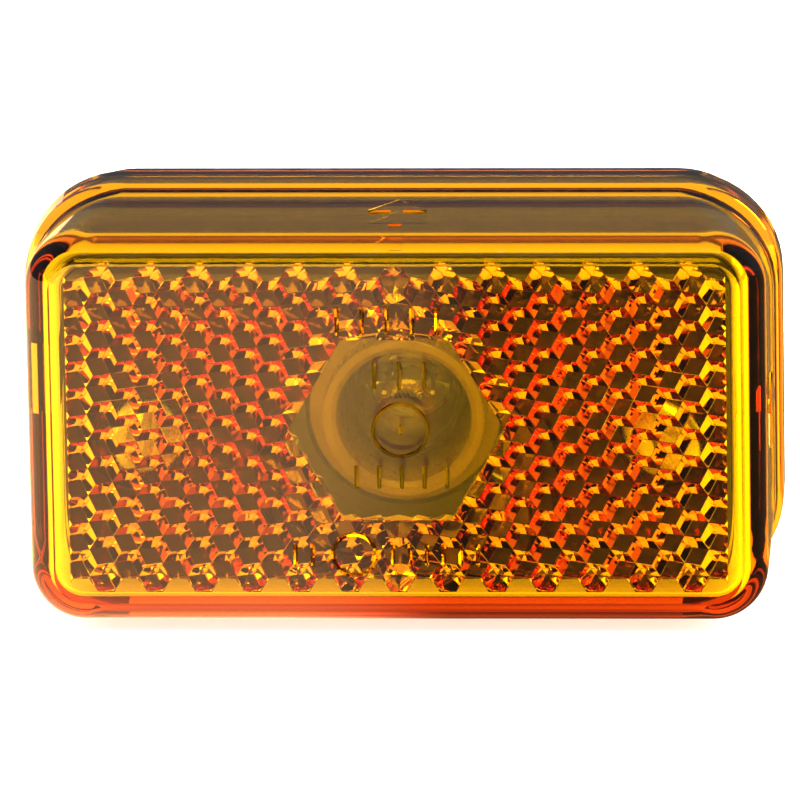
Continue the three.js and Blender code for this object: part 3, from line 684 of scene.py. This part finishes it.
def rolled_brass():
    """Brass strip with the fine lengthwise lines of rolling, and slightly tarnished patches."""
    material, tree, shader, place = new_material("rolled_brass")
    shader.inputs["Metallic"].default_value = 1.0
    tint(tree, shader, noise(tree, place, 350.0), (0.62, 0.42, 0.16), (0.80, 0.60, 0.29))
    lines = noise(tree, place, 2500.0, 3.0, (6.0, 0.4, 6.0))
    roughen(tree, shader, lines, 0.22, 0.42)
    emboss(tree, shader, lines, 0.006 * MM)
    return material


def break_edges(piece, width):
    """Rounds every sharp edge of a piece by the width."""
    bevel = piece.modifiers.new("edges", "BEVEL")
    bevel.width = width
    bevel.segments = 3
    bevel.limit_method = "ANGLE"
    bevel.angle_limit = np.radians(40)
    settle(piece)


def eased_copy(node, name, width):
    """A CAD piece's own shape, merged and with its flat faces joined, then its edges rounded by a bevel."""
    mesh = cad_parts[node].data.copy()
    turn_outwards(mesh, flatten=True)
    piece = bpy.data.objects.new(name, mesh)
    bpy.context.scene.collection.objects.link(piece)
    break_edges(piece, width)
    shade(piece, 34)
    return piece


brass = rolled_brass()
for where in ("upper", "lower"):
    node = f"contact_strip_{where}"
    fit(eased_copy(node, f"brass_strip_{where}", 0.07 * MM), brass, "holder", "brass_strip", node)

# ---------------------------------------------------------------------------
# Bulb: a wedge-base bulb. The blown glass envelope is sealed to a pressed glass wedge, two
# leads come up through the wedge and fold back along it, and a coiled filament joins them.
glass_low, glass_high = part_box("bulb_glass")
filament_low, filament_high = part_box("filament")
GLASS_WALL = 0.6 * MM
LEAD_X = 2.2 * MM
LEAD_R = 0.22 * MM
COIL_TURNS = 9
COIL_R = 0.32 * MM
COIL_WIRE_R = 0.07 * MM
LEAD_RETURN = 5.0 * MM


def clear_glass(name, ripple):
    """Clear glass, faintly uneven: ripple is the height of its surface waves in metres."""
    material, tree, shader, place = new_material(name)
    shader.inputs["Transmission Weight"].default_value = 1.0
    shader.inputs["IOR"].default_value = 1.5
    clouds = noise(tree, place, 220.0)
    tint(tree, shader, clouds, (0.94, 0.97, 0.96), (1.0, 1.0, 1.0))
    roughen(tree, shader, clouds, 0.0, 0.025)
    emboss(tree, shader, clouds, ripple)
    return material


def drawn_wire(name, first, second):
    """Drawn metal wire, with fine lines along it and a slight tarnish."""
    material, tree, shader, place = new_material(name)
    shader.inputs["Metallic"].default_value = 1.0
    lines = noise(tree, place, 3000.0, 3.0, (4.0, 0.5, 4.0))
    tint(tree, shader, lines, first, second)
    roughen(tree, shader, lines, 0.25, 0.45)
    return material


def make_envelope():
    """Half circle and straight wall outside, the same set in by the wall inside, joined round the neck."""
    outer = (glass_high.x - glass_low.x) / 2
    inner = outer - GLASS_WALL
    turn = np.linspace(0, np.pi / 2, 20)
    middle = glass_low.y + outer
    outside = np.stack([outer * np.sin(turn), middle - outer * np.cos(turn)], -1)
    inside = np.stack([inner * np.sin(turn), middle - inner * np.cos(turn)], -1)[::-1]
    neck = eased([outside[-1], [outer, glass_high.y], [inner, glass_high.y], inside[0]], 0.2 * MM)[1:-1]
    radius, y = np.concatenate([outside, neck, inside]).T
    return new_piece("glass_envelope", *skin_rings(turned(radius, y, 96, SOCKET)), sharp_angle=60)


def tube(path, aside, radius, sides=12):
    """Round wire along a path: circles square to the path, started from the given sideways directions."""
    along = np.gradient(path, axis=0)
    along /= np.linalg.norm(along, axis=1, keepdims=True)
    first = aside - along * np.sum(aside * along, axis=1, keepdims=True)
    first /= np.linalg.norm(first, axis=1, keepdims=True)
    second = np.cross(along, first)
    angle = np.linspace(0, 2 * np.pi, sides, endpoint=False)[None, :, None]
    return path[:, None] + radius * (np.cos(angle) * first[:, None] + np.sin(angle) * second[:, None])


def make_filament():
    """Helix along X between the leads, with its radius in Y and Z."""
    turn = np.linspace(0, 2 * np.pi * COIL_TURNS, COIL_TURNS * 24 + 1)
    half = (filament_high.x - filament_low.x) / 2 - COIL_WIRE_R
    middle_y = (filament_low.y + filament_high.y) / 2
    out = np.stack([np.zeros_like(turn), np.cos(turn), np.sin(turn)], -1)
    x = np.linspace(-half, half, len(turn))
    axis = np.stack([x, np.full_like(turn, middle_y), np.full_like(turn, SOCKET[1])], -1)
    path = out * COIL_R + axis
    return new_piece("filament_coil", *skin_rings(tube(path, out, COIL_WIRE_R, 8)), sharp_angle=80)


def make_lead(node, name, side):
    """Straight up through the wedge, half a circle round its end, and straight back along its flat."""
    low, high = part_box(node)
    reach = (high.z - low.z) / 2 - LEAD_R
    turn_y = high.y - LEAD_R - reach
    turn = np.linspace(0, np.pi, 25)
    up = np.stack([np.linspace(low.y, turn_y, 20)[:-1], np.zeros(19)], -1)
    bend = np.stack([turn_y + reach * np.sin(turn), reach * (1 - np.cos(turn))], -1)
    down = np.stack([np.linspace(turn_y, turn_y - LEAD_RETURN, 10)[1:], np.full(9, 2 * reach)], -1)
    y, z = np.concatenate([up, bend, down]).T
    path = np.stack([np.full_like(y, side * LEAD_X), y, SOCKET[1] + side * z], -1)
    aside = np.broadcast_to((1.0, 0.0, 0.0), path.shape)
    return new_piece(name, *skin_rings(tube(path, aside, LEAD_R)), sharp_angle=60)


fit(make_envelope(), clear_glass("blown_glass", 0.004 * MM), "bulb", "clear_glass", "bulb_glass")
wedge = eased_copy("bulb_wedge", "pressed_wedge", 0.12 * MM)
fit(wedge, clear_glass("pressed_glass", 0.05 * MM), "bulb", "clear_glass", "bulb_wedge")
tungsten = drawn_wire("tungsten_wire", (0.22, 0.22, 0.23), (0.38, 0.38, 0.39))
fit(make_filament(), tungsten, "bulb", "tungsten", "filament")
lead_metal = drawn_wire("lead_wire_metal", (0.50, 0.42, 0.30), (0.70, 0.62, 0.48))
for name, side in (("left", -1), ("right", 1)):
    node = f"lead_wire_{name}"
    fit(make_lead(node, f"bulb_lead_{name}", side), lead_metal, "bulb", "lead_wire", node)

# ---------------------------------------------------------------------------
# Lens seal: a rubber ring of square section with round corners, stretched over the skirt.
# It grips the inside of the lens and keeps water out.
seal_low, seal_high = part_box("lens_seal")
SEAL_WIDTH = 0.7 * MM
SEAL_CORNER = 6.0 * MM
SEAL_EDGE = 0.25 * MM


def make_seal():
    """Four-cornered section with eased corners, carried round a rounded rectangle."""
    square = [[0, seal_low.y], [0, seal_high.y], [SEAL_WIDTH, seal_high.y], [SEAL_WIDTH, seal_low.y]]
    section = eased(square, SEAL_EDGE, loop=True)
    rings = [rounded_ring(seal_high.x - i, seal_high.z - i, SEAL_CORNER - i, y) for i, y in section]
    return new_piece("seal_ring", *skin_rings(rings, loop=True))


fit(make_seal(), rubber, "base", "black_rubber", "lens_seal")

# ---------------------------------------------------------------------------
# Lens: one moulding of clear amber acrylic, with the honeycomb of prisms inside its face,
# a smooth hexagonal window in the middle of them, and a lip round its back edge.
RIM_Y = lens_high.y
FACE_Y = lens_low.y
LIP_REACH = 3.25 * MM
FACE_HALF = np.array([lens_high.x, lens_high.z]) - LIP_REACH
FACE_CORNER = 2.7 * MM
SHOULDER_RADIUS = 3.34 * MM
SHOULDER_START = np.radians(20)
FACE_INSETS = (0.6 * MM, 0.07 * MM)
SHOULDER_CORNER = FACE_CORNER + 2.2 * MM
WALL_CORNER_GAIN = 3.4 * MM
WALL_REACH = 2.55 * MM
WALL_DEPTH = 12.2 * MM
WALL_CORNER = 8.3 * MM
FLARE_LENGTH = 2.6 * MM
LIP_DEPTH = 15.1 * MM
LIP_CORNER = 9.0 * MM
RIM_EDGE = ((0.0, 0.25 * MM), (0.08 * MM, 0.08 * MM), (0.3 * MM, 0.0))
LENS_THICK = 2.0 * MM
INSIDE_FRONT = (30.6 * MM, 15.7 * MM)
INSIDE_BACK = (31.6 * MM, 16.8 * MM)
INSIDE_CORNER = 2.8 * MM
INSIDE_CORNER_GAIN = 4.4 * MM
RIM_FLARE = 0.25 * MM
INSIDE_END = 0.3 * MM
INNER_FILLET = 1.35 * MM
PRISM_PITCH = 2.5 * MM
PRISM_STEP = PRISM_PITCH / np.sqrt(6)
PRISM_HALF_X = 29.1 * MM
PRISM_BASE = 2.2 * MM
PRISM_FLOOR = 1.4 * MM
PRISM_EDGE = 0.07 * MM
PRISM_ROWS = 12
TOOL_DEEP = 8 * MM
TOOL_HALF_Z = 20 * MM
WINDOW_APOTHEM = 8.3 * MM
WALL_LEAN = 0.042
ARROW_RISE = 0.2 * MM
ARROW_Y = -17.3 * MM
ARROW_TOP_Z = 18.0 * MM
ARROW_RIGHT_X = 32.85 * MM
GROOVE_X = (-32.2 * MM, -30.6 * MM)
GROOVE_START_Y = -18.0 * MM
GROOVE_STOP = 1 * MM
ARROW_OUTLINE = ((0.55, -3.4), (0.55, 0.4), (2.6, 0.4))
ARROW_TIP = 3.4
ARROW_ROOT = 1 * MM
KEY_CLEARANCE = 0.3 * MM
MARK_DEEP = 0.18 * MM
MARK_HALF = 0.19 * MM
BIG_RING = ((0.44 * MM, 0.4 * MM), 2.4 * MM)
SMALL_RING = ((-3.8 * MM, -11.1 * MM), 1.9 * MM)
DASH_ROWS = (
    (0.4, 0.44, 0.0, 1, 0.5), (10.4, -5.0, 2.2, 5, 1.3), (5.4, -1.8, 2.2, 3, 1.3),
    (-3.9, -3.5, 2.0, 5, 1.1), (-11.1, -9.0, 1.5, 2, 1.1), (-11.1, -0.4, 1.5, 6, 1.1),
)


def lens_outside():
    """Rings down the outside: a flat face, a round shoulder, a leaning wall, a flare and a straight lip. The
    shoulder goes out by radius times (sin a - sin start) and back by radius times (cos start - cos a). The
    flare goes out by 3 s^2 - 2 s^3 as it goes back by s."""
    angle = np.linspace(SHOULDER_START, np.pi / 2, 9)
    out = SHOULDER_RADIUS * (np.sin(angle) - np.sin(SHOULDER_START))
    depth = SHOULDER_RADIUS * (np.cos(SHOULDER_START) - np.cos(angle))
    rows = [[-inset, 0.0, FACE_CORNER - inset] for inset in FACE_INSETS]
    rows += [[o, d, FACE_CORNER + o] for o, d in zip(out, depth)]
    for share in (0.04, 0.5, 0.96):
        o = out[-1] + share * (WALL_REACH - out[-1])
        d = depth[-1] + share * (WALL_DEPTH - depth[-1])
        rows.append([o, d, SHOULDER_CORNER + share * WALL_CORNER_GAIN])
    for share in np.linspace(0, 1, 6):
        blend = 3 * share ** 2 - 2 * share ** 3
        reach = WALL_REACH + (LIP_REACH - WALL_REACH) * blend
        corner = WALL_CORNER + (LIP_CORNER - WALL_CORNER) * blend
        rows.append([reach, WALL_DEPTH + FLARE_LENGTH * share, corner])
    rim = RIM_Y - FACE_Y
    rows.append([LIP_REACH, LIP_DEPTH, LIP_CORNER])
    rows += [[LIP_REACH - inset, rim - back, LIP_CORNER - inset] for inset, back in RIM_EDGE]
    return [rounded_ring(*(FACE_HALF + o), r, FACE_Y + d) for o, d, r in rows]


def lens_inside():
    """Rings of the hollow, from the back rim along straight walls to the flat inside of the face. A quarter
    circle joins wall and face: inset by radius times (1 - cos a), forward by radius times sin a."""
    front = np.array(INSIDE_FRONT)
    back = np.array(INSIDE_BACK)
    inner_face = FACE_Y + LENS_THICK
    rings = []
    rim_rows = ((1.0, RIM_FLARE, 0), (1.0, 0, RIM_FLARE))
    wall_rows = ((0.97, 0, 0), (0.5, 0, 0), (0.13, 0, 0))
    for share, flare, lift in rim_rows + wall_rows:
        half = front + share * (back - front) + flare
        y = inner_face + share * (RIM_Y - inner_face) - lift
        rings.append(rounded_ring(*half, INSIDE_CORNER + INSIDE_CORNER_GAIN * share + flare, y))
    for angle in np.linspace(0, np.pi / 2, 7)[1:]:
        inset = INNER_FILLET * (1 - np.cos(angle))
        y = inner_face + INNER_FILLET * (1 - np.sin(angle))
        rings.append(rounded_ring(*(front - inset), INSIDE_CORNER - inset, y))
    end = INNER_FILLET + INSIDE_END
    rings.append(rounded_ring(*(front - end), INSIDE_CORNER - end, inner_face))
    return rings


def prism_cells():
    """Centres of the right-hand honeycomb: columns sqrt(3)/2 of a pitch apart, every other one half a
    pitch up."""
    column_step = PRISM_PITCH * np.sqrt(3) / 2
    centres = []
    for column in range(int(PRISM_HALF_X / column_step) + 2):
        rows = PRISM_ROWS - column % 2
        z = (np.arange(rows) - (rows - 1) / 2) * PRISM_PITCH
        centres.append(np.stack([np.full(rows, column * column_step), z], -1))
    return np.concatenate(centres)


def prism_faces(centres):
    """Three square faces to each cube corner, as (x, z, level): 2 at the apex, then 1 and 0 round the cell.
    The middle column, at x = 0, has only the half of each cell that lies on the right."""
    angle = np.arange(6) * np.pi / 3
    radius = PRISM_PITCH / np.sqrt(3)
    around = np.stack([radius * np.cos(angle), radius * np.sin(angle), np.array([1, 0, 1, 0, 1, 0])], -1)
    faces = []
    for x, z in centres.tolist():
        ring = around + (x, z, 0)
        apex = np.array([x, z, 2.0])
        if x > 0:
            faces += [[apex, ring[k], ring[k + 1], ring[(k + 2) % 6]] for k in (0, 2, 4)]
        else:
            above = np.array([0, z + PRISM_PITCH / 2, 0.5])
            below = np.array([0, z - PRISM_PITCH / 2, 0.5])
            faces += [[apex, ring[0], ring[1], above], [apex, below, ring[5], ring[0]]]
    return faces


def prism_block():
    """Closes both mirrored prism fields with side walls and a flat floor inside the face plate."""
    right = prism_faces(prism_cells())
    left = [[corner * (-1, 1, 1) for corner in reversed(face)] for face in right]
    faces = right + left
    corners = np.concatenate([np.array(face) for face in faces])
    keys, index = np.unique(np.round(corners[:, :2] / (0.01 * MM)).astype(int), axis=0, return_inverse=True)
    index = index.ravel()
    count = len(keys)
    flat = np.zeros((count, 3))
    flat[index] = corners
    top = np.stack([flat[:, 0], FACE_Y + PRISM_BASE + flat[:, 2] * PRISM_STEP, flat[:, 1]], -1)
    floor = np.stack([flat[:, 0], np.full(count, FACE_Y + PRISM_FLOOR), flat[:, 1]], -1)
    sizes = [len(face) for face in faces]
    starts = np.concatenate([[0], np.cumsum(sizes)[:-1]])
    loops = [index[s:s + n].tolist() for s, n in zip(starts, sizes)]
    edges = {(a, b) for loop in loops for a, b in zip(loop, loop[1:] + loop[:1])}
    walls = [[a, b, b + count, a + count] for a, b in sorted(edges) if (b, a) not in edges]
    floors = [[i + count for i in reversed(loop)] for loop in loops]
    return np.concatenate([top, floor]), loops + walls + floors


def window_tool():
    """Hexagonal bar, pointed sideways, that clears the window in the prisms."""
    radius = WINDOW_APOTHEM / np.cos(np.pi / 6)
    rings = turned([radius, radius], [FACE_Y + BEYOND, FACE_Y + TOOL_DEEP], 6)
    return new_piece("window", *skin_rings(rings))


def make_prisms():
    """The prism fields with softened edges, trimmed straight at the sides and cleared at the window."""
    prisms = new_piece("prisms", *prism_block())
    break_edges(prisms, PRISM_EDGE)
    low = (-PRISM_HALF_X, FACE_Y + BEYOND, -TOOL_HALF_Z)
    slab = block(low, (PRISM_HALF_X, FACE_Y + TOOL_DEEP, TOOL_HALF_Z))
    combine(prisms, slab, "INTERSECT")
    combine(prisms, window_tool(), "DIFFERENCE")
    return prisms


def arrow(turn, place):
    """Raised arrow for the way up: a flat outline given a thickness, turned and sunk into a wall until only
    its rise stands out."""
    half = np.array(ARROW_OUTLINE)
    outline = np.concatenate([half, [[0, ARROW_TIP]], (half * (-1, 1))[::-1]]) * MM
    heights = (ARROW_RISE - ARROW_ROOT, ARROW_RISE)
    rings = [np.column_stack([outline, np.full(len(outline), height)]) for height in heights]
    points, faces = skin_rings(rings)
    points = points @ np.array(turn).T + np.array(place)
    return new_piece("arrow", points, faces)


def groove_ring(centre, radius):
    """Round groove in the face: a V section turned round the centre."""
    low, high = FACE_Y - MARK_DEEP, FACE_Y + MARK_DEEP
    section = [radius - 2 * MARK_HALF, radius + 2 * MARK_HALF, radius]
    return new_piece("groove", *skin_rings(turned(section, [low, low, high], 72, centre), loop=True))


def pit(x, z, half_height):
    """Upright V-shaped pit with round ends: wide above the face, narrowing to an edge below it."""
    sides = 16
    turn = np.linspace(0, 2 * np.pi, sides, endpoint=False)
    upright = np.sign(np.sin(turn) + 1e-9) * (half_height - MARK_HALF)
    rings = []
    for radius, y in ((2 * MARK_HALF, FACE_Y - MARK_DEEP), (0.1 * MARK_HALF, FACE_Y + MARK_DEEP)):
        across, along = x + radius * np.cos(turn), z + upright + radius * np.sin(turn)
        rings.append(np.stack([across, np.full(sides, y), along], -1))
    return skin_rings(rings)


def dashes(z, first_x, step, count, half_height):
    """A row of upright pits, as one tool for cutting."""
    points, faces = [], []
    for number in range(count):
        some_points, some_faces = pit(first_x + number * step, z, half_height)
        faces += [[i + len(points) * len(some_points) for i in face] for face in some_faces]
        points.append(some_points)
    return new_piece("dashes", np.concatenate(points), faces)


def engrave(lens):
    """Plain marks in the face: a ring with a dash in it, a small ring, and rows of dashes. Each row gives
    its z, first x, step, count and half height, in mm."""
    combine(lens, groove_ring(*BIG_RING), "DIFFERENCE")
    combine(lens, groove_ring(*SMALL_RING), "DIFFERENCE")
    for z, first_x, step, count, half in DASH_ROWS:
        combine(lens, dashes(z * MM, first_x * MM, step * MM, count, half * MM), "DIFFERENCE")


def amber_acrylic():
    """Clear amber plastic: light loses its blue at once, its green in a few millimetres, its red slowly."""
    material, tree, shader, place = new_material("amber_acrylic")
    shader.inputs["Transmission Weight"].default_value = 1.0
    shader.inputs["IOR"].default_value = 1.49
    tint(tree, shader, noise(tree, place, 120.0), (0.985, 0.985, 0.985), (1.0, 1.0, 1.0))
    roughen(tree, shader, noise(tree, place, 900.0), 0.012, 0.05)
    colour = {"Color": (0.991, 0.916, 0.15, 1), "Density": 2000.0}
    volume = join_nodes(tree, "ShaderNodeVolumeAbsorption", colour)
    tree.links.new(volume, tree.nodes["Material Output"].inputs["Volume"])
    return material


def make_lens():
    """The shell joined with its prisms and arrows, then grooved for the key and engraved."""
    lens = new_piece("lens", *skin_rings(lens_outside() + lens_inside()), sharp_angle=18)
    combine(lens, make_prisms(), "UNION")
    top = Matrix.Rotation(WALL_LEAN, 3, "X")
    right = Matrix.Rotation(np.pi / 2 - WALL_LEAN, 3, "Z") @ Matrix.Rotation(np.pi / 2, 3, "X")
    combine(lens, arrow(top, (0, ARROW_Y, ARROW_TOP_Z)), "UNION")
    combine(lens, arrow(right, (ARROW_RIGHT_X, ARROW_Y, 0)), "UNION")
    key_low = (GROOVE_X[0], GROOVE_START_Y, KEY_Z[0] - KEY_CLEARANCE)
    key_high = (GROOVE_X[1], RIM_Y - GROOVE_STOP, KEY_Z[1] + KEY_CLEARANCE)
    combine(lens, block(key_low, key_high), "DIFFERENCE")
    engrave(lens)
    shade(lens, 18)
    return lens


fit(make_lens(), amber_acrylic(), "lens", "amber_lens", "lens_cover")
